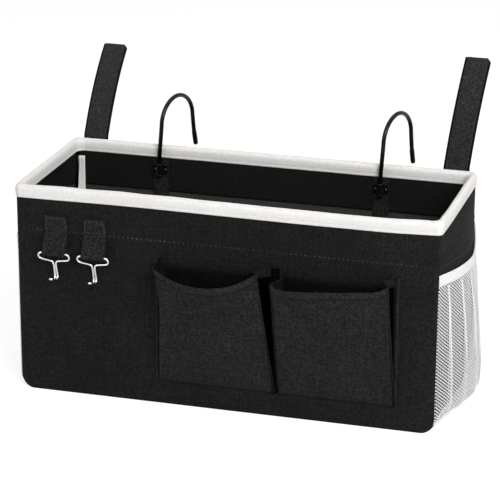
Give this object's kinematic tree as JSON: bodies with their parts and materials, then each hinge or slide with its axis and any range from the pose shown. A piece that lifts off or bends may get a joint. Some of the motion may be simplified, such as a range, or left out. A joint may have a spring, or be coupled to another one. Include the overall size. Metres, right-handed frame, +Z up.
{
  "type": "bedside caddy",
  "caption": "Lined canvas box with a bound rim, front and side pockets and key hooks, hung from a bed rail by swivelling wire hooks and hook-and-loop straps.",
  "frame": {"origin": "on the floor under the middle of the base", "axes": "+X along the length, to the right seen from the front; +Y from the front wall to the back wall, which lies against the bed; +Z up"},
  "size_m": [0.4504, 0.2693, 0.2993],
  "materials": {
    "canvas": "matte cotton canvas, plain weave",
    "board": "plain grey board",
    "lining": "thin matte lining cloth",
    "facing": "matte cotton canvas, plain weave",
    "binding": "ribbed cotton tape",
    "strap": "fuzzy loop tape",
    "webbing": "flat woven webbing",
    "black_steel": "glossy black coated steel",
    "bright_wire": "bright nickel plated wire",
    "net": "fine white knitted net",
    "elastic": "white knitted elastic tape"
  },
  "bodies": {
    "caddy": {"front_panel": "canvas", "back_panel": "canvas", "left_side_panel": "canvas", "right_side_panel": "canvas", "base_panel": "canvas", "front_board": "board", "back_board": "board", "base_board": "board", "front_lining": "lining", "back_lining": "lining", "left_side_lining": "lining", "right_side_lining": "lining", "base_lining": "lining", "front_facing": "facing", "back_facing": "facing", "left_side_facing": "facing", "right_side_facing": "facing", "rim_binding": "binding", "front_seam_binding": "binding", "back_seam_binding": "binding", "strap_root_left": "strap", "strap_root_right": "strap", "strap_patch_left": "strap", "strap_patch_right": "strap", "hook_tape_left": "webbing", "hook_tape_right": "webbing", "hook_bracket_left": "black_steel", "hook_bracket_right": "black_steel", "hook_rivet_left_a": "black_steel", "hook_rivet_left_b": "black_steel", "hook_rivet_right_a": "black_steel", "hook_rivet_right_b": "black_steel", "key_tab_left": "webbing", "key_tab_right": "webbing", "front_pocket_left": "canvas", "front_pocket_right": "canvas", "side_net_left": "net", "side_net_right": "net", "elastic_band_left": "elastic", "elastic_band_right": "elastic"},
    "left_strap": {"strap_left": "strap"},
    "right_strap": {"strap_right": "strap"},
    "left_hook": {"wire_hook_left": "black_steel"},
    "right_hook": {"wire_hook_right": "black_steel"},
    "left_loop": {"key_loop_left": "webbing"},
    "right_loop": {"key_loop_right": "webbing"},
    "left_key_hook": {"key_hook_left": "bright_wire"},
    "right_key_hook": {"key_hook_right": "bright_wire"}
  },
  "joints": [
    {"name": "left_strap_fold", "type": "hinge", "parent": "caddy", "child": "left_strap", "pos_m": [-0.18, 0.0851, 0.2022], "axis": [-1, 0, 0], "range_deg": [-55, 84]},
    {"name": "right_strap_fold", "type": "hinge", "parent": "caddy", "child": "right_strap", "pos_m": [0.18, 0.0851, 0.2022], "axis": [-1, 0, 0], "range_deg": [-55, 110]},
    {"name": "left_hook_swivel", "type": "hinge", "parent": "caddy", "child": "left_hook", "pos_m": [-0.11, 0.07022, 0.1775], "axis": [0, 0, 1], "range_deg": [-48, 84]},
    {"name": "right_hook_swivel", "type": "hinge", "parent": "caddy", "child": "right_hook", "pos_m": [0.11, 0.07022, 0.1775], "axis": [0, 0, 1], "range_deg": [-48, 84]},
    {"name": "left_loop_swing", "type": "hinge", "parent": "caddy", "child": "left_loop", "pos_m": [-0.16, -0.084, 0.159], "axis": [-1, 0, 0], "range_deg": [0, 95]},
    {"name": "right_loop_swing", "type": "hinge", "parent": "caddy", "child": "right_loop", "pos_m": [-0.122, -0.084, 0.159], "axis": [-1, 0, 0], "range_deg": [0, 95]},
    {"name": "left_key_hook_swing", "type": "hinge", "parent": "left_loop", "child": "left_key_hook", "pos_m": [-0.16, -0.092, 0.141], "axis": [-1, 0, 0], "range_deg": [-3, 70]},
    {"name": "right_key_hook_swing", "type": "hinge", "parent": "right_loop", "child": "right_key_hook", "pos_m": [-0.122, -0.092, 0.141], "axis": [-1, 0, 0], "range_deg": [-3, 70]}
  ]
}
